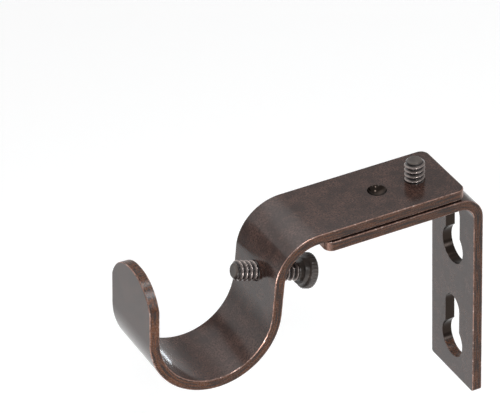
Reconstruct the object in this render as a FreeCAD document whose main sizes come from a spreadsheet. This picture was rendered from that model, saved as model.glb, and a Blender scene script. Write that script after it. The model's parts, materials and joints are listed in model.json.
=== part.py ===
import FreeCAD, Part
import Sketcher
import math
import os

# Adjustable bracket for a curtain pole: an L-shaped wall strap, a hook strap that slides on it,
# a thumb screw that locks the slide and a thumb screw that holds the pole.
# Millimetres and degrees. The wall is the plane Y = 0, the hook reaches towards -Y, X runs along
# the pole and +Z is up. The origin is the middle of the plate's back face.

SIZES = (
    ("strap_width", 19.0),
    ("strap_thickness", 2.4),
    ("edge_chamfer", 0.15),
    ("strap_gap", 0.6),
    ("plate_height", 54.0),
    ("plate_corner", 0.8),
    ("wall_bend_inner", 3.4),
    ("wall_arm_length", 39.6),
    ("wall_arm_corner", 2.0),
    ("keyhole_radius", 4.5),
    ("keyhole_slot_width", 6.1),
    ("keyhole_rise", 9.2),
    ("keyhole_spacing", 26.2),
    ("keyhole_lower", 17.5),
    ("slot_clearance", 0.2),
    ("slot_start", 11.6),
    ("slot_margin", 5.7),
    ("hook_setback", 4.4),
    ("hook_corner", 2.0),
    ("hook_run", 41.5),
    ("hook_bend_inner", 8.9),
    ("neck_angle", 83.2),
    ("neck_length", 7.5),
    ("cradle_rear_radius", 13.56),
    ("cradle_front_radius", 14.09),
    ("tongue_lean", 2.8),
    ("tongue_length", 14.0),
    ("tongue_flat", 1.0),
    ("tongue_shoulder", 6.4),
    ("dimple_place", 21.9),
    ("dimple_radius", 2.25),
    ("dimple_depth", 1.3),
    ("guide_height", 1.3),
    ("guide_bevel", 0.4),
    ("screw_diameter", 4.7),
    ("thread_clearance", 0.05),
    ("tip_bevel", 0.6),
    ("relief_depth", 0.25),
    ("relief_length", 0.7),
    ("collar_radius", 3.1),
    ("collar_height", 1.1),
    ("head_radius", 4.1),
    ("head_height", 1.9),
    ("head_bevel", 0.3),
    ("lock_place", 12.3),
    ("lock_stand", 5.1),
    ("seat_gap", 0.1),
    ("rod_tilt", 18.7),
    ("rod_drop", 1.15),
    ("rod_reach", 5.7),
    ("rod_shank", 17.0),
)

# Heights above the origin, written once as formulas of the sheet
ARM_TOP = "Sizes.plate_height / 2"
ARM_UNDER = ARM_TOP + " - Sizes.strap_thickness"
HOOK_UNDER = ARM_TOP + " + Sizes.strap_gap"
HOOK_TOP = HOOK_UNDER + " + Sizes.strap_thickness"

# The point where the pole screw's axis crosses the front of the neck
NECK = "Sizes.neck_angle * 1 deg"
BEND_OUTER = "(Sizes.hook_bend_inner + Sizes.strap_thickness)"
NECK_Y = "-Sizes.hook_run - %s * sin(%s) - Sizes.rod_drop * cos(%s)" % (BEND_OUTER, NECK, NECK)
NECK_Z = "%s - %s * (1 - cos(%s)) - Sizes.rod_drop * sin(%s)" % (HOOK_TOP, BEND_OUTER, NECK, NECK)
ROD_TURN = "(90 - Sizes.rod_tilt) * 1 deg"

# The inner rim of the tongue's tip, reached from the centre of the cradle's front arc
CRADLE_REACH = "(%s + Sizes.cradle_rear_radius)" % BEND_OUTER
CRADLE_Y = "-Sizes.hook_run - %s * sin(%s) - Sizes.neck_length * cos(%s)" % (CRADLE_REACH, NECK, NECK)
NECK_FOOT = "%s - %s * (1 - cos(%s)) - Sizes.neck_length * sin(%s)" % (HOOK_TOP, BEND_OUTER, NECK, NECK)
CRADLE_Z = "%s + Sizes.cradle_front_radius - Sizes.cradle_rear_radius * (1 - cos(%s))" % (NECK_FOOT, NECK)
LEAN = "Sizes.tongue_lean * 1 deg"
TIP_Y = "%s - Sizes.cradle_front_radius * cos(%s) + Sizes.tongue_length * sin(%s)" % (CRADLE_Y, LEAN, LEAN)
TIP_Z = "%s + Sizes.cradle_front_radius * sin(%s) + Sizes.tongue_length * cos(%s)" % (CRADLE_Z, LEAN, LEAN)

# How a sketch numbers the points of an edge, and its own two axes
START, END, CENTRE = range(1, 4)
H_AXIS, V_AXIS = range(-1, -3, -1)
ORIGIN = (H_AXIS, START)
Z_DIRECTION = FreeCAD.Vector(0, 0, 1)
FULL_TURN = 360
FINE = 0.001

doc = FreeCAD.newDocument("curtain_pole_bracket")
sheet = doc.addObject("Spreadsheet::Sheet", "Sizes")
for row, (alias, value) in enumerate(SIZES, start=1):
    sheet.set("A%d" % row, alias)
    sheet.set("B%d" % row, str(value))
    sheet.setAlias("B%d" % row, alias)
doc.recompute()


def size(alias):
    return float(sheet.get(alias))


def rod_turn():
    """The turn about X that brings an upright screw to the pole screw's slope."""
    return FreeCAD.Rotation(FreeCAD.Vector(1, 0, 0), 90 - size("rod_tilt"))


def origin_feature(body, role):
    return next(item for item in body.Origin.OriginFeatures if item.Role == role)


def new_body(name):
    body = doc.addObject("PartDesign::Body", name)
    body.Label = name
    return body


def new_sketch(body, name, role):
    sketch = body.newObject("Sketcher::SketchObject", name)
    sketch.AttachmentSupport = [(origin_feature(body, role), "")]
    sketch.MapMode = "FlatFace"
    return sketch


def line(sketch, start, end):
    segment = Part.LineSegment(FreeCAD.Vector(*start, 0), FreeCAD.Vector(*end, 0))
    return sketch.addGeometry(segment, False)


def arc(sketch, centre, radius, start, end):
    """A counter-clockwise arc between two angles in radians."""
    circle = Part.Circle(FreeCAD.Vector(*centre, 0), Z_DIRECTION, radius)
    return sketch.addGeometry(Part.ArcOfCircle(circle, start, end), False)


def rule(sketch, kind, *items):
    sketch.addConstraint(Sketcher.Constraint(kind, *items))


def bind(sketch, formula, value, kind, *items):
    """Adds a dimension with a first value and ties it to a formula of the sheet."""
    index = sketch.addConstraint(Sketcher.Constraint(kind, *items, value))
    sketch.setExpression("Constraints[%d]" % index, formula)


def pad(body, name, sketch):
    """A strap's profile, drawn out to the strap's width on both sides of the middle plane."""
    feature = body.newObject("PartDesign::Pad", name)
    feature.Profile = sketch
    feature.SideType = "Symmetric"
    feature.setExpression("Length", "Sizes.strap_width")
    return feature


def cut_through(body, name, sketch):
    feature = body.newObject("PartDesign::Pocket", name)
    feature.Profile = sketch
    feature.SideType = "Symmetric"
    feature.Type = "ThroughAll"
    return feature


def cut_near(body, name, sketch):
    """Cuts the strap that the sketch lies in or against, and no other run of the same strap."""
    feature = body.newObject("PartDesign::Pocket", name)
    feature.Profile = sketch
    feature.SideType = "Symmetric"
    feature.setExpression("Length", "4 * Sizes.strap_thickness")
    return feature


def turn(body, name, kind, sketch):
    """Turns a half profile about the sketch's upright axis."""
    feature = body.newObject("PartDesign::" + kind, name)
    feature.Profile = sketch
    feature.ReferenceAxis = (sketch, ["V_Axis"])
    feature.Angle = FULL_TURN
    return feature


def edges_in(feature, low, high):
    """Names of the edges of a feature that lie wholly inside a box."""
    names = []
    for number, edge in enumerate(feature.Shape.Edges, start=1):
        box = edge.BoundBox
        reach = ((box.XMin, box.XMax), (box.YMin, box.YMax), (box.ZMin, box.ZMax))
        inside = (a - FINE <= least and most <= b + FINE for a, b, (least, most) in zip(low, high, reach))
        if all(inside):
            names.append("Edge%d" % number)
    return names


def fillet(body, name, base, edges, formula):
    feature = body.newObject("PartDesign::Fillet", name)
    feature.Base = (base, edges)
    feature.setExpression("Radius", formula)
    doc.recompute()
    return feature


def chamfer(body, name, base, edges):
    """Breaks a strap's sharp rims: each chain of smooth edges needs one edge named."""
    feature = body.newObject("PartDesign::Chamfer", name)
    feature.Base = (base, edges)
    feature.setExpression("Size", "Sizes.edge_chamfer")
    doc.recompute()
    return feature


def side_edges(feature, low, high):
    """The edges in a box of the YZ plane, on both sides of a strap."""
    half = size("strap_width") / 2
    near = edges_in(feature, (half, *low), (half, *high))
    far = edges_in(feature, (-half, *low), (-half, *high))
    return near + far


# Wall bracket

def wall_profile(sketch):
    thick = size("strap_thickness")
    inner = size("wall_bend_inner")
    outer = inner + thick
    arm = size("wall_arm_length")
    top = size("plate_height") / 2
    centre = (-outer, top - outer)
    quarter = math.pi / 2
    arm_top = line(sketch, (-arm, top), (-outer, top))
    outer_bend = arc(sketch, centre, outer, 0, quarter)
    back = line(sketch, (0, top - outer), (0, -top))
    foot = line(sketch, (0, -top), (-thick, -top))
    front = line(sketch, (-thick, -top), (-thick, top - outer))
    inner_bend = arc(sketch, centre, inner, 0, quarter)
    arm_under = line(sketch, (-outer, top - thick), (-arm, top - thick))
    arm_end = line(sketch, (-arm, top - thick), (-arm, top))
    rule(sketch, "Tangent", arm_top, END, outer_bend, END)
    rule(sketch, "Tangent", outer_bend, START, back, START)
    rule(sketch, "Coincident", back, END, foot, START)
    rule(sketch, "Coincident", foot, END, front, START)
    rule(sketch, "Tangent", front, END, inner_bend, START)
    rule(sketch, "Tangent", inner_bend, END, arm_under, START)
    rule(sketch, "Coincident", arm_under, END, arm_end, START)
    rule(sketch, "Coincident", arm_end, END, arm_top, START)
    rule(sketch, "Coincident", outer_bend, CENTRE, inner_bend, CENTRE)
    for level in (arm_top, foot, arm_under):
        rule(sketch, "Horizontal", level)
    for upright in (back, front, arm_end):
        rule(sketch, "Vertical", upright)
    rule(sketch, "PointOnObject", back, END, V_AXIS)
    bind(sketch, "Sizes.strap_thickness", thick, "DistanceX", foot, END, foot, START)
    bind(sketch, "Sizes.plate_height / 2", top, "DistanceY", back, END, *ORIGIN)
    bind(sketch, "Sizes.plate_height", 2 * top, "DistanceY", back, END, arm_top, START)
    bind(sketch, "Sizes.wall_arm_length", arm, "DistanceX", arm_end, END, back, END)
    bind(sketch, "Sizes.wall_bend_inner", inner, "Radius", inner_bend)


def keyhole_outline(sketch):
    big = size("keyhole_radius")
    small = size("keyhole_slot_width") / 2
    low = -size("keyhole_lower")
    high = low + size("keyhole_rise")
    meet = math.sqrt(big ** 2 - small ** 2)
    opening = math.atan2(meet, small)
    crown = arc(sketch, (0, high), small, 0, math.pi)
    left = line(sketch, (-small, high), (-small, low + meet))
    round_part = arc(sketch, (0, low), big, math.pi - opening, 2 * math.pi + opening)
    right = line(sketch, (small, low + meet), (small, high))
    rule(sketch, "Tangent", crown, END, left, START)
    rule(sketch, "Tangent", right, END, crown, START)
    rule(sketch, "Coincident", left, END, round_part, START)
    rule(sketch, "Coincident", round_part, END, right, START)
    rule(sketch, "Vertical", left)
    rule(sketch, "Vertical", right)
    rule(sketch, "PointOnObject", crown, CENTRE, V_AXIS)
    rule(sketch, "PointOnObject", round_part, CENTRE, V_AXIS)
    bind(sketch, "Sizes.keyhole_slot_width / 2", small, "Radius", crown)
    bind(sketch, "Sizes.keyhole_radius", big, "Radius", round_part)
    bind(sketch, "Sizes.keyhole_rise", high - low, "DistanceY", round_part, CENTRE, crown, CENTRE)
    bind(sketch, "Sizes.keyhole_lower", -low, "DistanceY", round_part, CENTRE, *ORIGIN)


def slot_outline(sketch):
    half = size("screw_diameter") / 2 + size("slot_clearance")
    first = -size("slot_start")
    last = size("slot_margin") - size("wall_arm_length")
    wall_end = arc(sketch, (0, first), half, 0, math.pi)
    left = line(sketch, (-half, first), (-half, last))
    hook_end = arc(sketch, (0, last), half, math.pi, 2 * math.pi)
    right = line(sketch, (half, last), (half, first))
    rule(sketch, "Tangent", wall_end, END, left, START)
    rule(sketch, "Tangent", left, END, hook_end, START)
    rule(sketch, "Tangent", hook_end, END, right, START)
    rule(sketch, "Tangent", right, END, wall_end, START)
    rule(sketch, "Vertical", left)
    rule(sketch, "PointOnObject", wall_end, CENTRE, V_AXIS)
    rule(sketch, "PointOnObject", hook_end, CENTRE, V_AXIS)
    bind(sketch, "Sizes.screw_diameter / 2 + Sizes.slot_clearance", half, "Radius", wall_end)
    bind(sketch, "Sizes.slot_start", -first, "DistanceY", wall_end, CENTRE, *ORIGIN)
    bind(sketch, "Sizes.wall_arm_length - Sizes.slot_margin", -last, "DistanceY", hook_end, CENTRE, *ORIGIN)


def wall_bracket():
    body = new_body("wall_bracket")
    profile = new_sketch(body, "wall_profile", "YZ_Plane")
    wall_profile(profile)
    strap = pad(body, "wall_strap", profile)
    doc.recompute()

    top = size("plate_height") / 2
    arm = size("wall_arm_length")
    thick = size("strap_thickness")
    ends = side_edges(strap, (-arm, top - thick), (-arm, top))
    corners = fillet(body, "arm_corners", strap, ends, "Sizes.wall_arm_corner")
    feet = side_edges(corners, (-thick, -top), (0, -top))
    corners = fillet(body, "plate_corners", corners, feet, "Sizes.plate_corner")
    rims = side_edges(corners, (-thick, -top), (-thick, top))
    rims += side_edges(corners, (0, -top), (0, top))
    chamfer(body, "wall_rims", corners, rims)

    keyhole_sketch = new_sketch(body, "keyhole_outline", "XZ_Plane")
    keyhole_outline(keyhole_sketch)
    keyhole = cut_through(body, "lower_keyhole", keyhole_sketch)
    doc.recompute()
    pair = body.newObject("PartDesign::LinearPattern", "keyholes")
    pair.Originals = [keyhole]
    pair.Direction = (origin_feature(body, "Z_Axis"), [""])
    pair.setExpression("Length", "Sizes.keyhole_spacing")
    pair.Occurrences = 2
    body.Tip = pair
    doc.recompute()

    slot_sketch = new_sketch(body, "slot_outline", "XY_Plane")
    slot_outline(slot_sketch)
    cut_through(body, "arm_slot", slot_sketch)
    doc.recompute()
    return body


# Hook arm

def hook_profile(sketch):
    thick = size("strap_thickness")
    under = size("plate_height") / 2 + size("strap_gap")
    top = under + thick
    rear = -size("hook_setback")
    bend_y = -size("hook_run")
    small = size("hook_bend_inner")
    large = small + thick
    neck = math.radians(size("neck_angle"))
    neck_length = size("neck_length")
    rear_radius = size("cradle_rear_radius")
    front_radius = size("cradle_front_radius")
    lean = math.radians(size("tongue_lean"))
    tongue = size("tongue_length")
    quarter = math.pi / 2

    def shifted(place, distance, angle):
        return (place[0] + distance * math.cos(angle), place[1] + distance * math.sin(angle))

    bend = (bend_y, under - small)
    outward = quarter + neck
    down = outward + quarter
    neck_front = shifted(bend, large, outward)
    neck_rear = shifted(bend, small, outward)
    rear_centre = shifted(shifted(neck_front, neck_length, down), rear_radius, outward)
    front_centre = (rear_centre[0], rear_centre[1] + front_radius - rear_radius)
    facing = neck - quarter
    end = -math.pi - lean
    up = quarter - lean
    inner_foot = shifted(front_centre, front_radius, end)
    outer_foot = shifted(front_centre, front_radius + thick, end)

    flat_top = line(sketch, (rear, top), (bend_y, top))
    bend_top = arc(sketch, bend, large, quarter, outward)
    front = line(sketch, neck_front, shifted(neck_front, neck_length, down))
    rear_in = arc(sketch, rear_centre, rear_radius, -quarter, facing)
    front_in = arc(sketch, front_centre, front_radius, end, -quarter)
    tongue_in = line(sketch, inner_foot, shifted(inner_foot, tongue, up))
    tip = line(sketch, shifted(inner_foot, tongue, up), shifted(outer_foot, tongue, up))
    tongue_out = line(sketch, shifted(outer_foot, tongue, up), outer_foot)
    front_out = arc(sketch, front_centre, front_radius + thick, end, -quarter)
    rear_out = arc(sketch, rear_centre, rear_radius + thick, -quarter, facing)
    back = line(sketch, shifted(neck_rear, neck_length, down), neck_rear)
    bend_under = arc(sketch, bend, small, quarter, outward)
    flat_under = line(sketch, (bend_y, under), (rear, under))
    rear_end = line(sketch, (rear, under), (rear, top))

    rule(sketch, "Tangent", flat_top, END, bend_top, START)
    rule(sketch, "Tangent", bend_top, END, front, START)
    rule(sketch, "Tangent", front, END, rear_in, END)
    rule(sketch, "Tangent", rear_in, START, front_in, END)
    rule(sketch, "Tangent", front_in, START, tongue_in, START)
    rule(sketch, "Coincident", tongue_in, END, tip, START)
    rule(sketch, "Coincident", tip, END, tongue_out, START)
    rule(sketch, "Tangent", tongue_out, END, front_out, START)
    rule(sketch, "Tangent", front_out, END, rear_out, START)
    rule(sketch, "Tangent", rear_out, END, back, START)
    rule(sketch, "Tangent", back, END, bend_under, END)
    rule(sketch, "Tangent", bend_under, START, flat_under, START)
    rule(sketch, "Coincident", flat_under, END, rear_end, START)
    rule(sketch, "Coincident", rear_end, END, flat_top, START)
    rule(sketch, "Coincident", bend_top, CENTRE, bend_under, CENTRE)
    rule(sketch, "Coincident", rear_in, CENTRE, rear_out, CENTRE)
    rule(sketch, "Coincident", front_in, CENTRE, front_out, CENTRE)
    rule(sketch, "Vertical", rear_in, CENTRE, front_in, CENTRE)
    rule(sketch, "Horizontal", flat_top)
    rule(sketch, "Horizontal", flat_under)
    rule(sketch, "Vertical", rear_end)
    rule(sketch, "Parallel", front, back)
    rule(sketch, "Parallel", tongue_in, tongue_out)
    rule(sketch, "Perpendicular", tongue_in, tip)
    bind(sketch, HOOK_UNDER, under, "DistanceY", *ORIGIN, rear_end, START)
    bind(sketch, "Sizes.strap_thickness", thick, "DistanceY", rear_end, START, rear_end, END)
    bind(sketch, "Sizes.hook_setback", -rear, "DistanceX", rear_end, END, *ORIGIN)
    bind(sketch, "Sizes.hook_run", -bend_y, "DistanceX", flat_top, END, *ORIGIN)
    bind(sketch, "Sizes.hook_bend_inner", small, "Radius", bend_under)
    bind(sketch, "(Sizes.neck_angle - 180) * 1 deg", neck - math.pi, "Angle", front)
    bind(sketch, "Sizes.neck_length", neck_length, "Distance", front)
    bind(sketch, "Sizes.cradle_rear_radius", rear_radius, "Radius", rear_in)
    bind(sketch, "Sizes.cradle_front_radius", front_radius, "Radius", front_in)
    bind(sketch, "(90 - Sizes.tongue_lean) * 1 deg", up, "Angle", tongue_in)
    bind(sketch, "Sizes.tongue_length", tongue, "Distance", tongue_in)
    return tip


def tongue_waste(sketch):
    """What is cut away beside the tongue's round end, on one side, with the origin in mid-tip."""
    flat = size("tongue_flat") / 2
    half = size("strap_width") / 2
    drop = size("tongue_shoulder")
    spare = size("strap_thickness")
    radius = ((half - flat) ** 2 + drop ** 2) / (2 * drop)
    spread = math.asin((half - flat) / radius)
    crown = arc(sketch, (flat, -radius), radius, math.pi / 2 - spread, math.pi / 2)
    inner = line(sketch, (flat, 0), (flat, spare))
    lid = line(sketch, (flat, spare), (half + spare, spare))
    outer = line(sketch, (half + spare, spare), (half + spare, -drop))
    shoulder = line(sketch, (half + spare, -drop), (half, -drop))
    rule(sketch, "Coincident", crown, END, inner, START)
    rule(sketch, "Coincident", inner, END, lid, START)
    rule(sketch, "Coincident", lid, END, outer, START)
    rule(sketch, "Coincident", outer, END, shoulder, START)
    rule(sketch, "Coincident", shoulder, END, crown, START)
    rule(sketch, "Vertical", inner)
    rule(sketch, "Horizontal", lid)
    rule(sketch, "Vertical", outer)
    rule(sketch, "Horizontal", shoulder)
    rule(sketch, "PointOnObject", crown, CENTRE, inner)
    rule(sketch, "PointOnObject", inner, START, H_AXIS)
    bind(sketch, "Sizes.tongue_flat / 2", flat, "DistanceX", *ORIGIN, inner, START)
    bind(sketch, "Sizes.strap_width / 2", half, "DistanceX", *ORIGIN, crown, START)
    bind(sketch, "Sizes.tongue_shoulder", drop, "DistanceY", crown, START, *ORIGIN)
    bind(sketch, "Sizes.strap_thickness", spare, "Distance", inner)
    bind(sketch, "Sizes.strap_thickness", spare, "Distance", shoulder)


def dimple_profile(sketch):
    """Half of the round hollow that the punch leaves in the top."""
    wide = size("dimple_radius")
    deep = size("dimple_depth")
    ball = (wide ** 2 + deep ** 2) / (2 * deep)
    spread = math.asin(wide / ball)
    lid = line(sketch, (0, 0), (wide, 0))
    bowl = arc(sketch, (0, ball - deep), ball, -math.pi / 2, -math.pi / 2 + spread)
    axis = line(sketch, (0, -deep), (0, 0))
    rule(sketch, "Coincident", lid, START, *ORIGIN)
    rule(sketch, "Coincident", lid, END, bowl, END)
    rule(sketch, "Coincident", bowl, START, axis, START)
    rule(sketch, "Coincident", axis, END, lid, START)
    rule(sketch, "Horizontal", lid)
    rule(sketch, "Vertical", axis)
    rule(sketch, "PointOnObject", bowl, CENTRE, V_AXIS)
    bind(sketch, "Sizes.dimple_radius", wide, "Distance", lid)
    bind(sketch, "Sizes.dimple_depth", deep, "Distance", axis)


def guide_profile(sketch):
    """Half of the round guide that the punch raises below, as thick as the screw in the same slot."""
    wide = size("screw_diameter") / 2
    tall = size("guide_height")
    bevel = size("guide_bevel")
    root = line(sketch, (0, 0), (wide, 0))
    side = line(sketch, (wide, 0), (wide, bevel - tall))
    slope = line(sketch, (wide, bevel - tall), (wide - bevel, -tall))
    base = line(sketch, (wide - bevel, -tall), (0, -tall))
    axis = line(sketch, (0, -tall), (0, 0))
    rule(sketch, "Coincident", root, START, *ORIGIN)
    rule(sketch, "Coincident", root, END, side, START)
    rule(sketch, "Coincident", side, END, slope, START)
    rule(sketch, "Coincident", slope, END, base, START)
    rule(sketch, "Coincident", base, END, axis, START)
    rule(sketch, "Coincident", axis, END, root, START)
    rule(sketch, "Horizontal", root)
    rule(sketch, "Horizontal", base)
    rule(sketch, "Vertical", side)
    rule(sketch, "Vertical", axis)
    bind(sketch, "Sizes.screw_diameter / 2", wide, "Distance", root)
    bind(sketch, "Sizes.guide_height", tall, "Distance", axis)
    bind(sketch, "Sizes.guide_bevel", bevel, "DistanceX", slope, END, slope, START)
    bind(sketch, "Sizes.guide_bevel", bevel, "DistanceY", slope, END, slope, START)


def hole_outline(sketch):
    """A tapped hole about the sketch's origin, with running clearance round the screw."""
    radius = size("screw_diameter") / 2 + size("thread_clearance")
    circle = Part.Circle(FreeCAD.Vector(0, 0, 0), Z_DIRECTION, radius)
    hole = sketch.addGeometry(circle, False)
    rule(sketch, "Coincident", hole, CENTRE, *ORIGIN)
    bind(sketch, "Sizes.screw_diameter / 2 + Sizes.thread_clearance", radius, "Radius", hole)


def hook_arm():
    body = new_body("hook_arm")
    profile = new_sketch(body, "hook_profile", "YZ_Plane")
    tip = hook_profile(profile)
    strap = pad(body, "hook_strap", profile)
    doc.recompute()

    thick = size("strap_thickness")
    under = size("plate_height") / 2 + size("strap_gap")
    rear = -size("hook_setback")
    rear_edges = side_edges(strap, (rear, under), (rear, under + thick))
    corners = fillet(body, "rear_corners", strap, rear_edges, "Sizes.hook_corner")

    waste_sketch = new_sketch(body, "tongue_waste", "XZ_Plane")
    lean = FreeCAD.Rotation(FreeCAD.Vector(-1, 0, 0), size("tongue_lean"))
    waste_sketch.AttachmentOffset = FreeCAD.Placement(FreeCAD.Vector(), lean)
    waste_sketch.setExpression("AttachmentOffset.Base.y", TIP_Z)
    waste_sketch.setExpression("AttachmentOffset.Base.z", "-(%s)" % TIP_Y)
    waste_sketch.setExpression("AttachmentOffset.Rotation.Angle", LEAN)
    tongue_waste(waste_sketch)
    cut = cut_near(body, "tongue_corner", waste_sketch)
    corners = body.newObject("PartDesign::Mirrored", "tongue_corners")
    corners.Originals = [cut]
    corners.MirrorPlane = (origin_feature(body, "YZ_Plane"), [""])
    body.Tip = corners
    doc.recompute()

    run = -size("hook_run")
    rims = side_edges(corners, (run, under), (rear, under))
    rims += side_edges(corners, (run, under + thick), (rear, under + thick))
    flat = size("tongue_flat") / 2
    tip_line = profile.Geometry[tip]
    for end in (tip_line.StartPoint, tip_line.EndPoint):
        rims += edges_in(corners, (-flat, end.x, end.y), (flat, end.x, end.y))
    chamfer(body, "hook_rims", corners, rims)

    dimple_sketch = new_sketch(body, "dimple_profile", "YZ_Plane")
    dimple_sketch.setExpression("AttachmentOffset.Base.x", "-Sizes.dimple_place")
    dimple_sketch.setExpression("AttachmentOffset.Base.y", HOOK_TOP)
    dimple_profile(dimple_sketch)
    turn(body, "dimple", "Groove", dimple_sketch)
    guide_sketch = new_sketch(body, "guide_profile", "YZ_Plane")
    guide_sketch.setExpression("AttachmentOffset.Base.x", "-Sizes.dimple_place")
    guide_sketch.setExpression("AttachmentOffset.Base.y", HOOK_UNDER)
    guide_profile(guide_sketch)
    turn(body, "guide", "Revolution", guide_sketch)
    doc.recompute()

    lock_sketch = new_sketch(body, "lock_hole_outline", "XY_Plane")
    lock_sketch.setExpression("AttachmentOffset.Base.y", "-Sizes.lock_place")
    hole_outline(lock_sketch)
    cut_through(body, "lock_hole", lock_sketch)
    rod_sketch = new_sketch(body, "rod_hole_outline", "XY_Plane")
    rod_sketch.AttachmentOffset = FreeCAD.Placement(FreeCAD.Vector(), rod_turn())
    rod_sketch.setExpression("AttachmentOffset.Base.y", NECK_Y)
    rod_sketch.setExpression("AttachmentOffset.Base.z", NECK_Z)
    rod_sketch.setExpression("AttachmentOffset.Rotation.Angle", ROD_TURN)
    hole_outline(rod_sketch)
    cut_near(body, "rod_hole", rod_sketch)
    doc.recompute()
    return body


# Thumb screws

def screw_profile(sketch, shank, shank_formula):
    """Half profile of a screw that stands on its collar's seat, with its tip towards +Z."""
    thread = size("screw_diameter") / 2
    relief = size("relief_depth")
    relief_end = size("relief_length")
    tip = size("tip_bevel")
    collar = size("collar_radius")
    collar_low = -size("collar_height")
    head = size("head_radius")
    head_low = collar_low - size("head_height")
    bevel = size("head_bevel")
    outline = (
        (0, head_low),
        (head - bevel, head_low),
        (head, head_low + bevel),
        (head, collar_low - bevel),
        (head - bevel, collar_low),
        (collar, collar_low),
        (collar, 0),
        (thread - relief, 0),
        (thread - relief, relief_end),
        (thread, relief_end + relief),
        (thread, shank - tip),
        (thread - tip, shank),
        (0, shank),
    )
    sides = [line(sketch, a, b) for a, b in zip(outline, outline[1:] + outline[:1])]
    end_face, rim_low, rim, rim_high, under_face, collar_side, seat = sides[:7]
    relief_side, relief_slope, thread_side, tip_slope, tip_face, axis = sides[7:]
    for first, second in zip(sides, sides[1:] + sides[:1]):
        rule(sketch, "Coincident", first, END, second, START)
    for level in (end_face, under_face, seat, tip_face):
        rule(sketch, "Horizontal", level)
    for upright in (rim, collar_side, relief_side, thread_side):
        rule(sketch, "Vertical", upright)
    rule(sketch, "PointOnObject", axis, START, V_AXIS)
    rule(sketch, "PointOnObject", axis, END, V_AXIS)
    rule(sketch, "PointOnObject", seat, START, H_AXIS)
    bind(sketch, "Sizes.head_radius", head, "DistanceX", *ORIGIN, rim, START)
    bind(sketch, "Sizes.collar_radius", collar, "DistanceX", *ORIGIN, seat, START)
    bind(sketch, "Sizes.screw_diameter / 2", thread, "DistanceX", *ORIGIN, thread_side, START)
    bind(sketch, "Sizes.collar_height", -collar_low, "DistanceY", under_face, END, seat, START)
    bind(sketch, "Sizes.head_height", collar_low - head_low, "DistanceY", end_face, START, under_face, END)
    bind(sketch, "Sizes.head_bevel", bevel, "DistanceX", rim_low, START, rim_low, END)
    bind(sketch, "Sizes.head_bevel", bevel, "DistanceY", rim_low, START, rim_low, END)
    bind(sketch, "Sizes.head_bevel", bevel, "DistanceX", rim_high, END, rim_high, START)
    bind(sketch, "Sizes.head_bevel", bevel, "DistanceY", rim_high, START, rim_high, END)
    bind(sketch, "Sizes.relief_depth", relief, "DistanceX", relief_slope, START, relief_slope, END)
    bind(sketch, "Sizes.relief_depth", relief, "DistanceY", relief_slope, START, relief_slope, END)
    bind(sketch, "Sizes.relief_length", relief_end, "DistanceY", relief_side, START, relief_side, END)
    bind(sketch, "Sizes.tip_bevel", tip, "DistanceX", tip_slope, END, tip_slope, START)
    bind(sketch, "Sizes.tip_bevel", tip, "DistanceY", tip_slope, START, tip_slope, END)
    bind(sketch, shank_formula, shank, "DistanceY", seat, START, tip_face, START)


def thumb_screw(name, shank, shank_formula):
    body = new_body(name)
    profile = new_sketch(body, name + "_profile", "XZ_Plane")
    screw_profile(profile, shank, shank_formula)
    turn(body, name + "_turned", "Revolution", profile)
    return body


def lock_screw():
    clamped = 2 * size("strap_thickness") + size("strap_gap")
    shank = size("seat_gap") + clamped + size("lock_stand")
    shank_formula = "Sizes.seat_gap + 2 * Sizes.strap_thickness + Sizes.strap_gap + Sizes.lock_stand"
    body = thumb_screw("lock_screw", shank, shank_formula)
    body.setExpression("Placement.Base.y", "-Sizes.lock_place")
    body.setExpression("Placement.Base.z", ARM_UNDER + " - Sizes.seat_gap")
    doc.recompute()
    return body


def rod_screw():
    body = thumb_screw("rod_screw", size("rod_shank"), "Sizes.rod_shank")
    body.Placement = FreeCAD.Placement(FreeCAD.Vector(), rod_turn())
    back = "(Sizes.rod_shank - Sizes.rod_reach)"
    tilt = "Sizes.rod_tilt * 1 deg"
    body.setExpression("Placement.Base.y", "%s + %s * cos(%s)" % (NECK_Y, back, tilt))
    body.setExpression("Placement.Base.z", "%s - %s * sin(%s)" % (NECK_Z, back, tilt))
    body.setExpression("Placement.Rotation.Angle", ROD_TURN)
    doc.recompute()
    return body


def check(bodies):
    for item in doc.Objects:
        if "Invalid" in item.State or "Error" in item.State:
            raise RuntimeError(item.Name + " failed")
    for body in bodies:
        if body.Shape.isNull() or not body.Shape.isValid():
            raise RuntimeError(body.Label + " has no valid shape")


parts = [wall_bracket(), hook_arm(), lock_screw(), rod_screw()]
doc.recompute()
check(parts)
os.makedirs("parts", exist_ok=True)
for part in parts:
    part.Shape.exportStep(os.path.join("parts", part.Label + ".step"))
    print(part.Label, round(part.Shape.Volume, 2), "mm3")
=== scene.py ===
import json
import math

import bmesh
import bpy
import numpy as np
from mathutils import Matrix, Vector

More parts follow.
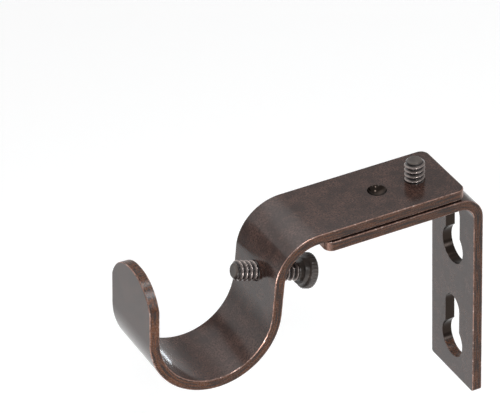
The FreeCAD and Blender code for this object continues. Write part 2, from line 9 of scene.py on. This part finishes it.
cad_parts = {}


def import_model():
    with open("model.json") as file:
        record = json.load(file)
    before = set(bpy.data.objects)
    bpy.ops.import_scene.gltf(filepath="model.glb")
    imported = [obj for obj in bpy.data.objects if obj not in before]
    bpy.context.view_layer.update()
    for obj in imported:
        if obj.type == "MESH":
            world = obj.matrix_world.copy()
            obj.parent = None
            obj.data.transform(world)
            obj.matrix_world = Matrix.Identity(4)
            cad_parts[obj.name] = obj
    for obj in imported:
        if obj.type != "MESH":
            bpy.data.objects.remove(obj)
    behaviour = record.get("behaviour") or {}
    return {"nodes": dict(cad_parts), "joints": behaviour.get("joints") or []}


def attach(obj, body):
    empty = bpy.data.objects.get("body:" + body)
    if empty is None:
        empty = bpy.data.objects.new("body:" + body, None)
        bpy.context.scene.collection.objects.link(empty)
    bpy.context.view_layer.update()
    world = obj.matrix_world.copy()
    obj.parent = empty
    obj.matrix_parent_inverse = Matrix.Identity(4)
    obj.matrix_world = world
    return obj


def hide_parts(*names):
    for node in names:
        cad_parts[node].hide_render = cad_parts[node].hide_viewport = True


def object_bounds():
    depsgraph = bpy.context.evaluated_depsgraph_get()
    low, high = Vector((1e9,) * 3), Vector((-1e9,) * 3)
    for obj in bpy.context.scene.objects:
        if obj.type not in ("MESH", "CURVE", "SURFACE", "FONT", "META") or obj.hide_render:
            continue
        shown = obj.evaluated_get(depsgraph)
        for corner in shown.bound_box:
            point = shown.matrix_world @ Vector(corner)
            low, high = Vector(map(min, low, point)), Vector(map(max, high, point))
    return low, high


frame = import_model()
cad_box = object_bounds()

MM = 0.001

# Camera, fitted to the outline of the bracket: the point on its axis, in metres, and angles in degrees
AIM = Vector((0.0, -0.053556, 0.03611))
DISTANCE = 0.774154
AZIMUTH = 63.751
ELEVATION = 33.597
ROLL = -1.913
SENSOR = 36.0
LENS = 255.127
CLIP_START = 0.01

# Straps, in millimetres and degrees: the middle line of each, from its free end, as straight runs and
# bends. A start is a place in Y and Z and a heading; a bend is its radius and its turn.
THICKNESS = 2.4
HALF_WIDTH = 9.5
EDGE_CHAMFER = 0.15
WALL_START = (-39.6, 25.8, 0)
WALL_RUNS = ((33.8,), (4.6, -90), (48.2,))
HOOK_START = (-4.4, 28.8, 180)
HOOK_RUNS = ((37.1,), (10.1, 83.2), (7.5,), (14.76, -83.2), (15.29, -92.8), (14.0,))
PATH_STEP = 0.1

# How a strap's mesh is cleaned, rounded and told apart: the weld in metres, the angles those between
# two faces, and the rest in millimetres
WELD = 1e-6
FLAT_ANGLE = math.radians(0.4)
CREASE_ANGLE = math.radians(30)
SHARP_ANGLE = math.radians(60)
HOLE_BEVEL = 0.1
HOLE_INSET = 0.3
# The share of the holes' painted shade that their rounded rims take
HOLE_RIM_SHADE_SHARE = 0.5
END_MARGIN = 6.5
DIMPLE_DEPTH = 0.02
NORMAL_WEIGHT = 90

# Thumb screws, in millimetres from the collar's seat, with the tip towards +Z
THREAD_RADIUS = 2.35
THREAD_DEPTH = 0.58
THREAD_PITCH = 1.2
THREAD_START = 0.7
THREAD_ROWS = 12
CREST_POWER = 1.9
CREST_WEAR = 0.75
TIP_RADIUS = 1.75
TIP_LOW = -0.25
RELIEF_RADIUS = 2.1
HEAD_LOW = -3.0
KNURLS = 32
KNURL_STEPS = 6
KNURL_DEPTH = 0.16
# Rings of the tip, past the end of the thread's bevel: radius, and height over the screw's length
TIP_RINGS = ((1.58, -0.06), (1.4, -0.01), (1.25, 0.0))
# Rings from the seat to the end of the head: radius, height and the share of the knurl's depth
HEAD_RINGS = (
    (RELIEF_RADIUS, 0.0, 0), (2.4, 0.0, 0), (2.5, -0.12, 0), (2.65, -0.12, 0), (2.75, 0.0, 0),
    (3.0, 0.0, 0), (3.1, -0.1, 0), (3.1, -0.98, 0), (3.2, -1.1, 0), (3.7, -1.1, 0),
    (3.82, -1.13, 0), (4.02, -1.3, 0.5), (4.1, -1.42, 1), (4.1, -2.68, 1), (4.02, -2.8, 0.5),
    (3.8, -3.0, 0), (3.4, -3.0, 0), (3.25, -2.88, 0), (0.6, -2.88, 0),
)

# Finish of the straps, in linear colours
LACQUER_IOR = 1.45
LACQUER_DARK = (0.036, 0.021, 0.0175, 1)
LACQUER_LIGHT = (0.086, 0.046, 0.036, 1)
LACQUER_SPECK = (0.030, 0.017, 0.0140, 1)
CUT_DARK = (0.018, 0.005, 0.001, 1)
CUT_LIGHT = (0.095, 0.032, 0.011, 1)
COPPER_DULL = (0.38, 0.225, 0.178, 1)
COPPER_BRIGHT = (0.92, 0.72, 0.64, 1)
# Painted shade: the near-black colour of the walls of the holes and the dimple, standing in for the
# shade in those recesses
HOLE_SHADE_COLOUR = (0.032, 0.024, 0.020, 1)
# Where the lacquer rubs off, in millimetres on the flat strip: from where to where the rubbing grows
# through the cut sides and across the broad faces, and fades along from a strap's first end
SIDE_RUB = (0.92, 1.12)
FACE_RUB = (HALF_WIDTH - 0.14, HALF_WIDTH + 0.04)
END_RUB = (0.4, 1.6)
BAND_WEAR = 0.6
END_WEAR = 0.8

# Finish of the screws, in linear colours
STEEL_DARK = (0.056, 0.047, 0.042, 1)
STEEL_LIGHT = (0.090, 0.072, 0.062, 1)
# Painted shade: the near-black colour at the thread's roots, darkening the grooves
THREAD_ROOT_SHADE = (0.008, 0.005, 0.005, 1)
THREAD_CREST = (0.34, 0.285, 0.265, 1)

# Studio: the floor, the glow of the walls and a dark ribbon beside the bracket. The glow lies round a
# direction and grows between two cosines of the angle to it.
FLOOR_GAP = 0.045
FLOOR_HALF = 4.0
PAPER = (0.9, 0.9, 0.9, 1)
PAPER_LIFT = 0.23
WALL_GLOW_FROM = (-68, 25)
WALL_GLOW_EDGES = (0.70, 0.97)
WALL_STRENGTHS = (0.54, 1.13)
RIBBON_START = (-67.08, -0.57, 180)
RIBBON_RUNS = HOOK_RUNS[4:]
RIBBON_OFFSET = Vector((-33.3, 3.4, 15.1))
RIBBON_STEP = 6
RIBBON_COLOUR = (0.38, 0.33, 0.32, 1)

# Lamps: what each is aimed at; its azimuth and elevation seen from there, in degrees; its distance,
# width and height in metres; its radiance and colour; and the share of its size that doesn't fade
WHITE = (1.0, 1.0, 1.0)
COOL = (0.85, 0.93, 1.0)
BEND_TOP = Vector((0.0, -0.0435, 0.030))
NECK_RIM = Vector((0.0095, -0.0521, 0.0226))
CRADLE_FRONT = Vector((0.0, -0.0755, 0.0035))
TONGUE_SHOULDER = Vector((0.0072, -0.0818, 0.0266))
LAMPS = (
    ("front_softbox", AIM, -80, 62, 0.3, 0.40, 0.30, 0.45, WHITE, 0.1),
    ("bend_softbox", BEND_TOP, -98, 57, 0.122, 0.22, 0.10, 0.58, WHITE, 0.4),
    ("key_softbox", AIM, 86, 46, 0.7, 0.14, 0.14, 36, WHITE, 0.1),
    ("right_softbox", AIM, 117, 22, 0.7, 0.22, 0.32, 6, COOL, 0.1),
    ("top_softbox", AIM, 160, 72, 0.7, 0.22, 0.22, 20, WHITE, 0.1),
    ("neck_softbox", NECK_RIM, 33, -6, 0.05, 0.013, 0.018, 30, WHITE, 0.1),
    ("cradle_softbox", CRADLE_FRONT, -131, 4, 0.06, 0.04, 0.03, 0.3, WHITE, 0.1),
    ("tongue_softbox", TONGUE_SHOULDER, 129, 46, 0.05, 0.025, 0.025, 11, COOL, 0.1),
    ("streak_softbox", CRADLE_FRONT, -132, -9.5, 0.06, 0.03, 0.0016, 26, COOL, 0.1),
)


# Materials

class Nodes:
    """A node tree, built with one call a node."""

    def __init__(self, tree):
        self.tree = tree

    def node(self, kind, **settings):
        item = self.tree.nodes.new("ShaderNode" + kind)
        for name, value in settings.items():
            setattr(item, name, value)
        return item

    def feed(self, socket, value):
        if isinstance(value, bpy.types.NodeSocket):
            self.tree.links.new(value, socket)
        elif isinstance(value, bpy.types.Node):
            self.tree.links.new(value.outputs[0], socket)
        else:
            socket.default_value = value

    def attribute(self, name):
        return self.node("Attribute", attribute_name=name).outputs["Fac"]

    def math(self, operation, first, second=0.0, clamp=False):
        item = self.node("Math", operation=operation, use_clamp=clamp)
        self.feed(item.inputs[0], first)
        self.feed(item.inputs[1], second)
        return item.outputs[0]

    def vector_math(self, operation, first, second=(0.0, 0.0, 0.0)):
        item = self.node("VectorMath", operation=operation)
        self.feed(item.inputs[0], first)
        self.feed(item.inputs[1], second)
        return item.outputs["Value" if operation in ("LENGTH", "DOT_PRODUCT") else "Vector"]

    def ramp(self, value, low, high, to_low=0.0, to_high=1.0):
        """A smooth step from one value to another."""
        item = self.node("MapRange", interpolation_type="SMOOTHSTEP")
        for index, entry in enumerate((value, low, high, to_low, to_high)):
            self.feed(item.inputs[index], entry)
        return item.outputs[0]

    def mix(self, share, first, second):
        """A blend of two colours."""
        item = self.node("Mix", data_type="RGBA")
        self.feed(item.inputs[0], share)
        self.feed(item.inputs[6], first)
        self.feed(item.inputs[7], second)
        return item.outputs[2]

    def noise(self, vector, scale, detail=3.0, roughness=0.55):
        item = self.node("TexNoise")
        self.feed(item.inputs["Vector"], vector)
        self.feed(item.inputs["Scale"], scale)
        self.feed(item.inputs["Detail"], detail)
        self.feed(item.inputs["Roughness"], roughness)
        return item.outputs["Fac"]

    def lacquer(self, colour, roughness, metallic, height=0.0, strength=0.0, distance=MM):
        """Ends the tree in a glossy coat over a colour, with small bumps."""
        bump = self.node("Bump")
        self.feed(bump.inputs["Strength"], strength)
        self.feed(bump.inputs["Distance"], distance)
        self.feed(bump.inputs["Height"], height)
        shader = self.node("BsdfPrincipled")
        self.feed(shader.inputs["Base Color"], colour)
        self.feed(shader.inputs["Roughness"], roughness)
        self.feed(shader.inputs["Metallic"], metallic)
        self.feed(shader.inputs["Normal"], bump)
        self.feed(shader.inputs["IOR"], LACQUER_IOR)
        self.surface(shader)

    def surface(self, shader):
        self.feed(self.node("OutputMaterial").inputs["Surface"], shader)


def new_material(name):
    """A material with an empty node tree."""
    material = bpy.data.materials.new(name)
    material.use_nodes = True
    material.node_tree.nodes.clear()
    return material, Nodes(material.node_tree)


def face_colour(n, unrolled, speckle):
    """The broad faces' brown, with large clouds and darker specks."""
    clouds = n.noise(unrolled, scale=0.28, detail=6.0, roughness=0.7)
    brown = n.mix(n.ramp(clouds, 0.36, 0.64), LACQUER_DARK, LACQUER_LIGHT)
    return n.mix(n.ramp(speckle, 0.38, 0.60), LACQUER_SPECK, brown)


def cut_colour(n, unrolled):
    """The cut sides' warmer brown, streaked along the strip."""
    drawn_out = n.vector_math("MULTIPLY", unrolled, (1.0, 0.1, 1.4))
    streaks = n.noise(drawn_out, scale=1.8, roughness=0.6)
    return n.mix(n.ramp(streaks, 0.40, 0.60), CUT_DARK, CUT_LIGHT)


def copper_colour(n, unrolled):
    polish = n.noise(unrolled, scale=1.1, roughness=0.7)
    return n.mix(n.ramp(polish, 0.54, 0.74), COPPER_DULL, COPPER_BRIGHT)


def rubbed_share(n, unrolled, side):
    """How far the lacquer has rubbed off: in patches along the rims, and at a strap's first end."""
    parts = n.node("SeparateXYZ")
    n.feed(parts.inputs[0], unrolled)
    across = n.math("ABSOLUTE", parts.outputs["X"])
    depth = n.math("ABSOLUTE", parts.outputs["Z"])
    ragged = n.noise(unrolled, scale=1.6, detail=4.0, roughness=0.7)
    ragged = n.math("MULTIPLY", n.math("SUBTRACT", ragged, 0.5), 0.9)
    side_band = n.math("MULTIPLY", side, n.ramp(n.math("ADD", depth, ragged), *SIDE_RUB))
    face_band = n.ramp(n.math("ADD", across, ragged), *FACE_RUB)
    face_band = n.math("SUBTRACT", face_band, side, clamp=True)
    band = n.math("MULTIPLY", n.math("MAXIMUM", side_band, face_band), BAND_WEAR)
    near_rim = n.math("MAXIMUM", n.attribute("rim"), band)
    drawn_out = n.vector_math("MULTIPLY", unrolled, (1.0, 0.35, 1.0))
    patches = n.noise(drawn_out, scale=0.8, detail=5.0, roughness=0.7)
    rim_wear = n.math("MULTIPLY", near_rim, n.ramp(patches, 0.38, 0.56, 0.35, 1.0))
    along = n.math("ADD", parts.outputs["Y"], ragged)
    end_wear = n.math("MULTIPLY", side, n.ramp(along, *END_RUB, END_WEAR, 0.0))
    return n.math("MAXIMUM", rim_wear, end_wear, clamp=True)


def bronze_material():
    """Dark oil-rubbed bronze: a mottled brown under a satin lacquer, browner on the cut sides, with
    the copper showing where the rims have rubbed, and painted shade in the holes and the dimple, whose
    walls are coloured near black."""
    material, n = new_material("aged_bronze")
    unrolled = n.node("Attribute", attribute_name="unrolled").outputs["Vector"]
    side = n.attribute("cut")
    hole = n.attribute("hole")
    speckle = n.noise(unrolled, scale=2.4, detail=4.0, roughness=0.6)
    grain = n.noise(unrolled, scale=5.0, detail=2.0)
    wear = rubbed_share(n, unrolled, side)

    colour = n.mix(side, face_colour(n, unrolled, speckle), cut_colour(n, unrolled))
    colour = n.mix(wear, colour, copper_colour(n, unrolled))
    # Painted shade: the holes and the dimple are coloured near black
    colour = n.mix(hole, colour, HOLE_SHADE_COLOUR)
    rough = n.math("ADD", n.ramp(speckle, 0.3, 0.7, 0.20, 0.14), n.math("MULTIPLY", side, 0.1))
    rough = n.math("ADD", rough, n.math("MULTIPLY", wear, 0.16))
    # The holes' painted shade is also fully metallic, so that the near-black colour reflects little
    metal = n.math("MAXIMUM", n.math("MULTIPLY", wear, 0.9), hole)
    height = n.math("ADD", n.math("MULTIPLY", speckle, 0.7), n.math("MULTIPLY", grain, 0.3))
    n.lacquer(colour, rough, metal, height, strength=0.28, distance=0.02 * MM)
    return material


def steel_material():
    """Blackened screw steel, with a faint brown bloom, fine turning marks, painted shade that darkens
    the thread's grooves towards their roots, and worn bare steel on the crests.
    """
    material, n = new_material("blackened_steel")
    place = n.node("TexCoord").outputs["Object"]
    bloom = n.noise(place, scale=420.0, detail=4.0)
    grain = n.noise(place, scale=2600.0, roughness=0.6)
    crest = n.attribute("crest")
    colour = n.mix(n.ramp(bloom, 0.35, 0.65), STEEL_DARK, STEEL_LIGHT)
    # Painted shade in the thread's grooves, darkest at the roots
    colour = n.mix(n.attribute("groove_shade"), colour, THREAD_ROOT_SHADE)
    colour = n.mix(crest, colour, THREAD_CREST)
    rough = n.ramp(grain, 0.3, 0.7, 0.18, 0.26)
    n.lacquer(colour, rough, crest, grain, strength=0.15, distance=0.006 * MM)
    return material


# Straps

def strap_path(start, runs):
    """Samples a strap's middle line: each place in Y and Z, its heading and the length so far."""
    y, z, heading = start[0], start[1], math.radians(start[2])
    rows = []
    along = 0.0
    for run in runs:
        turn = math.radians(run[1]) if len(run) > 1 else 0.0
        length = run[0] * abs(turn) if turn else run[0]
        count = math.ceil(length / PATH_STEP)
        for _ in range(count):
            rows.append((y, z, heading, along))
            step = length / count
            heading += turn / count / 2
            y += step * math.cos(heading)
            z += step * math.sin(heading)
            heading += turn / count / 2
            along += step
    rows.append((y, z, heading, along))
    return np.array(rows)


def unroll(point, path):
    """Where a point lies on the flat strip: across, along and through it, in millimetres."""
    y, z = point.y / MM, point.z / MM
    row = path[np.argmin((path[:, 0] - y) ** 2 + (path[:, 1] - z) ** 2)]
    forward = (math.cos(row[2]), math.sin(row[2]))
    dy, dz = y - row[0], z - row[1]
    along = row[3] + dy * forward[0] + dz * forward[1]
    through = dz * forward[0] - dy * forward[1]
    return Vector((point.x / MM, along, through))


def face_kind(places, total):
    """Tells the rims, the cut sides and the holes of a strip from its broad faces, by the places of a
    face's corners. Holes, and the dimple, are inside the strip's width and away from its ends. A rim
    slopes from a broad face to just inside it."""
    across = [abs(place.x) for place in places]
    along = [place.y for place in places]
    depths = [abs(place.z) for place in places]
    one_side = min(place.z for place in places) * max(place.z for place in places) > 0
    if one_side and min(depths) > THICKNESS / 2 - DIMPLE_DEPTH:
        return None
    off_ends = min(along) > END_MARGIN and max(along) < total - END_MARGIN
    # Faces of the holes and the dimple, which take the painted shade
    if off_ends and max(across) < HALF_WIDTH - HOLE_INSET:
        return "hole"
    mid_slope = (THICKNESS - EDGE_CHAMFER) / 2
    return "rim" if one_side and min(depths) < mid_slope < max(depths) else "cut"


def mark(face, layer, share):
    for corner in face.loops:
        corner[layer] = share


def round_holes(work, path, unrolled, hole):
    """Rounds the rims of a strap's holes, which the solid leaves sharp, and gives the rounded rims a
    share of the holes' painted shade.
    """
    sharp = [edge for edge in work.edges if edge.calc_face_angle(0) > SHARP_ANGLE]
    rounded = bmesh.ops.bevel(
        work, geom=sharp, offset=HOLE_BEVEL * MM, offset_type="OFFSET", segments=2, profile=0.5,
        affect="EDGES", clamp_overlap=True)
    for vert in rounded["verts"]:
        vert[unrolled] = unroll(vert.co, path)
    for face in rounded["faces"]:
        mark(face, hole, HOLE_RIM_SHADE_SHARE)


def strap(node, name, body, start, runs, material):
    """Copies a strap, rounds the rims of its holes and keeps each point's place on the flat strip."""
    path = strap_path(start, runs)
    work = bmesh.new()
    work.from_mesh(frame["nodes"][node].data)
    bmesh.ops.remove_doubles(work, verts=work.verts, dist=WELD)
    bmesh.ops.dissolve_limit(work, angle_limit=FLAT_ANGLE, verts=work.verts, edges=work.edges)
    unrolled = work.verts.layers.float_vector.new("unrolled")
    marks = {kind: work.loops.layers.float.new(kind) for kind in ("rim", "cut", "hole")}
    for vert in work.verts:
        vert[unrolled] = unroll(vert.co, path)
    for face in work.faces:
        kind = face_kind([vert[unrolled] for vert in face.verts], path[-1, 3])
        if kind:
            mark(face, marks[kind], 1.0)
    round_holes(work, path, unrolled, marks["hole"])
    # Creases stay sharp, so that the broad faces are shaded flat up to their rims
    for face in work.faces:
        face.smooth = True
    for edge in work.edges:
        edge.smooth = edge.calc_face_angle(0) < CREASE_ANGLE
    bmesh.ops.triangulate(work, faces=[face for face in work.faces if len(face.verts) > 4])
    mesh = bpy.data.meshes.new(name)
    work.to_mesh(mesh)
    work.free()
    return dress(mesh, name, node, body, material)


def dress(mesh, name, node, body, material):
    """Puts a mesh in the scene in place of a node of the frame."""
    piece = bpy.data.objects.new(name, mesh)
    bpy.context.scene.collection.objects.link(piece)
    mesh.materials.append(material)
    soft = piece.modifiers.new("weighted_normals", "WEIGHTED_NORMAL")
    soft.mode = "FACE_AREA_WITH_ANGLE"
    soft.weight = NORMAL_WEIGHT
    soft.keep_sharp = True
    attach(piece, body)
    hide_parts(node)
    return piece


# Thumb screws

def thread_radius(height, turn, length):
    """The radius of the threaded shank at a height and a share of a turn."""
    depth = abs(math.sin(math.pi * (height / THREAD_PITCH - turn))) ** CREST_POWER
    radius = THREAD_RADIUS - THREAD_DEPTH * depth
    return min(radius, RELIEF_RADIUS + height - THREAD_START, TIP_RADIUS + length + TIP_LOW - height)


def thread_hollow(place, axis, length):
    """How deep a point lies in the thread's groove: 0 on a crest, 1 at the root, -1 off the thread."""
    height = place.dot(axis)
    if not THREAD_START < height < length + TIP_LOW:
        return -1.0
    off_axis = (place - axis * height).length
    return min(max((THREAD_RADIUS - off_axis) / THREAD_DEPTH, 0.0), 1.0)


class Turned:
    """Vertices and faces of a thumb screw that stands on its collar's seat, in millimetres."""

    steps = KNURLS * KNURL_STEPS

    def __init__(self, length):
        self.length = length
        self.verts = []
        self.faces = []

    def vert(self, radius, height, step):
        angle = 2 * math.pi * step / self.steps
        self.verts.append((radius * math.cos(angle), radius * math.sin(angle), height))
        return len(self.verts) - 1

    def thread_vert(self, height, step):
        return self.vert(thread_radius(height, step / self.steps, self.length), height, step)

    def ring(self, radius, height, knurl=0.0):
        row = []
        for step in range(self.steps):
            wave = 0.5 - 0.5 * math.cos(2 * math.pi * step / KNURL_STEPS)
            row.append(self.vert(radius - KNURL_DEPTH * knurl * wave, height, step))
        return row

    def join(self, upper, lower):
        for step in range(self.steps):
            after = (step + 1) % self.steps
            self.faces.append((upper[step], lower[step], lower[after], upper[after]))

    def thread(self, bottom, top):
        """Fills the shank between two rings with rows that climb with the thread."""
        kept = {}

        def corner(step, row):
            row += THREAD_ROWS * (step // self.steps)
            step %= self.steps
            height = (row / THREAD_ROWS + step / self.steps) * THREAD_PITCH
            if height <= THREAD_START:
                return bottom[step]
            if height >= self.length + TIP_LOW:
                return top[step]
            if (step, row) not in kept:
                kept[step, row] = self.thread_vert(height, step)
            return kept[step, row]

        last_row = math.ceil(self.length / THREAD_PITCH * THREAD_ROWS)
        for row in range(-THREAD_ROWS, last_row + 1):
            for step in range(self.steps):
                corners = (corner(step, row), corner(step + 1, row),
                           corner(step + 1, row + 1), corner(step, row + 1))
                distinct = tuple(dict.fromkeys(corners))
                if len(distinct) > 2:
                    self.faces.append(distinct)

    def head(self, above):
        for radius, height, knurl in HEAD_RINGS:
            below = self.ring(radius, height, knurl)
            self.join(above, below)
            above = below
        self.faces.append(tuple(reversed(above)))

    def tip(self, outer):
        for radius, height in TIP_RINGS:
            inner = self.ring(radius, self.length + height)
            self.join(inner, outer)
            outer = inner
        self.faces.append(tuple(outer))


def screw_mesh(name, length):
    shape = Turned(length)
    bottom = [shape.thread_vert(THREAD_START, step) for step in range(shape.steps)]
    top = shape.ring(TIP_RADIUS, length + TIP_LOW)
    shape.thread(bottom, top)
    shape.head(bottom)
    shape.tip(top)
    mesh = bpy.data.meshes.new(name)
    mesh.from_pydata(shape.verts, [], shape.faces)
    return mesh


def screw(node, name, axis, material):
    """Builds a screw along its joint's axis, from the tip and the end of the head of its solid."""
    axis = Vector(axis).normalized()
    points = [vert.co for vert in frame["nodes"][node].data.vertices]
    reach = [point.dot(axis) for point in points]
    span = max(reach) - min(reach)
    tip_ring = [point for point, far in zip(points, reach) if far > max(reach) - WELD]
    tip = sum(tip_ring, Vector()) / len(tip_ring)
    length = span / MM + HEAD_LOW
    seat = tip - axis * length * MM
    turn = Vector((0, 0, 1)).rotation_difference(axis).to_matrix().to_4x4()
    mesh = screw_mesh(name, length)
    mesh.transform(Matrix.Translation(seat) @ turn @ Matrix.Scale(MM, 4))
    mesh.validate()
    for face in mesh.polygons:
        face.use_smooth = True
    # Groove depth sets the painted shade in the thread's grooves; nearness to a crest sets the crest
    # wear
    groove_shade = mesh.attributes.new("groove_shade", "FLOAT", "POINT")
    crest = mesh.attributes.new("crest", "FLOAT", "POINT")
    for index, vert in enumerate(mesh.vertices):
        depth = thread_hollow((vert.co - seat) / MM, axis, length)
        groove_shade.data[index].value = max(depth, 0.0)
        crest.data[index].value = max(1.0 - depth / CREST_WEAR, 0.0) if depth >= 0 else 0.0
    return dress(mesh, name, node, node, material)


# Stage

def look(position, aim, roll):
    """A placement at a position that faces a point, rolled by an angle in radians."""
    forward = (aim - position).normalized()
    right = forward.cross(Vector((0, 0, 1))).normalized()
    up = right.cross(forward)
    turned_right = right * math.cos(roll) + up * math.sin(roll)
    turned_up = up * math.cos(roll) - right * math.sin(roll)
    turn = Matrix((turned_right, turned_up, -forward)).transposed()
    return Matrix.Translation(position) @ turn.to_4x4()


def direction(azimuth, elevation):
    """From the bracket towards a viewer: azimuth 0 is -Y and 90 is +X, in degrees."""
    a, e = math.radians(azimuth), math.radians(elevation)
    return Vector((math.sin(a) * math.cos(e), -math.cos(a) * math.cos(e), math.sin(e)))


def camera():
    data = bpy.data.cameras.new("camera")
    data.sensor_width = SENSOR
    data.lens = LENS
    data.clip_start = CLIP_START
    item = bpy.data.objects.new("camera", data)
    item.matrix_world = look(AIM + direction(AZIMUTH, ELEVATION) * DISTANCE, AIM, math.radians(ROLL))
    bpy.context.scene.collection.objects.link(item)
    bpy.context.scene.camera = item


def softbox(name, aim, azimuth, elevation, distance, width, height, radiance, colour, core):
    """A lamp that is brightest in its core and fades to nothing half its size from its middle."""
    data = bpy.data.lights.new(name, "AREA")
    data.shape = "RECTANGLE"
    data.size = width
    data.size_y = height
    data.energy = radiance * math.pi * width * height
    data.color = colour
    data.use_nodes = True
    n = Nodes(data.node_tree)
    place = n.node("NewGeometry").outputs["Parametric"]
    away = n.vector_math("LENGTH", n.vector_math("SUBTRACT", place, (0.5, 0.5, 0.0)))
    n.feed(n.tree.nodes["Emission"].inputs["Strength"], n.ramp(away, core, 0.5, 1.0, 0.0))
    item = bpy.data.objects.new(name, data)
    item.matrix_world = look(aim + direction(azimuth, elevation) * distance, aim, 0)
    item.visible_camera = False
    bpy.context.scene.collection.objects.link(item)


def stage_object(name, verts, faces):
    mesh = bpy.data.meshes.new(name)
    mesh.from_pydata(verts, [], faces)
    piece = bpy.data.objects.new(name, mesh)
    bpy.context.scene.collection.objects.link(piece)
    return piece


def dark_ribbon():
    """A dark bent ribbon beside the bracket, which only its reflections see."""
    verts = []
    for y, z in strap_path(RIBBON_START, RIBBON_RUNS)[::RIBBON_STEP, :2]:
        for x in (-HALF_WIDTH, HALF_WIDTH):
            verts.append((Vector((x, y, z)) + RIBBON_OFFSET) * MM)
    faces = [(i, i + 1, i + 3, i + 2) for i in range(0, len(verts) - 2, 2)]
    piece = stage_object("dark_ribbon", verts, faces)
    thick = piece.modifiers.new("thickness", "SOLIDIFY")
    thick.thickness = THICKNESS * MM
    thick.offset = 0.0
    material, n = new_material("dark_ribbon")
    n.lacquer(RIBBON_COLOUR, roughness=0.4, metallic=0.0)
    piece.data.materials.append(material)
    piece.visible_camera = False
    piece.visible_diffuse = False
    piece.visible_shadow = False


def paper_material():
    """White paper, lifted a little where it is seen, mirrored or looked through."""
    material, n = new_material("white_paper")
    path = n.node("LightPath")
    seen = n.math("MAXIMUM", path.outputs["Is Camera Ray"], path.outputs["Is Glossy Ray"])
    seen = n.math("MAXIMUM", seen, path.outputs["Is Transmission Ray"])
    paper = n.node("BsdfDiffuse")
    n.feed(paper.inputs["Color"], PAPER)
    lift = n.node("Emission")
    n.feed(lift.inputs["Strength"], n.math("MULTIPLY", seen, PAPER_LIFT))
    both = n.node("AddShader")
    n.feed(both.inputs[0], paper)
    n.feed(both.inputs[1], lift)
    n.surface(both)
    return material


def floor():
    low = cad_box[0][2] - FLOOR_GAP
    half = FLOOR_HALF
    corners = [(-half, -half, low), (half, -half, low), (half, half, low), (-half, half, low)]
    piece = stage_object("floor", corners, [(0, 1, 2, 3)])
    piece.data.materials.append(paper_material())


def world():
    """Studio walls: pale on the far left of the bracket and darker towards the other sides."""
    item = bpy.data.worlds.new("studio")
    bpy.context.scene.world = item
    item.use_nodes = True
    n = Nodes(item.node_tree)
    back = n.tree.nodes["Background"]
    place = n.node("TexCoord").outputs["Generated"]
    facing = n.vector_math("DOT_PRODUCT", place, direction(*WALL_GLOW_FROM))
    n.feed(back.inputs["Color"], (1, 1, 1, 1))
    n.feed(back.inputs["Strength"], n.ramp(facing, *WALL_GLOW_EDGES, *WALL_STRENGTHS))


bronze = bronze_material()
steel = steel_material()
axes = {joint["child"]: joint["axis"] for joint in frame["joints"]}
strap("wall_bracket", "wall_strap", "wall_bracket", WALL_START, WALL_RUNS, bronze)
strap("hook_arm", "hook_strap", "hook_arm", HOOK_START, HOOK_RUNS, bronze)
screw("lock_screw", "lock_thumb_screw", axes["lock_screw"], steel)
screw("rod_screw", "rod_thumb_screw", axes["rod_screw"], steel)
camera()
floor()
world()
dark_ribbon()
for lamp in LAMPS:
    softbox(*lamp)

bpy.context.scene.view_settings.view_transform = "Standard"
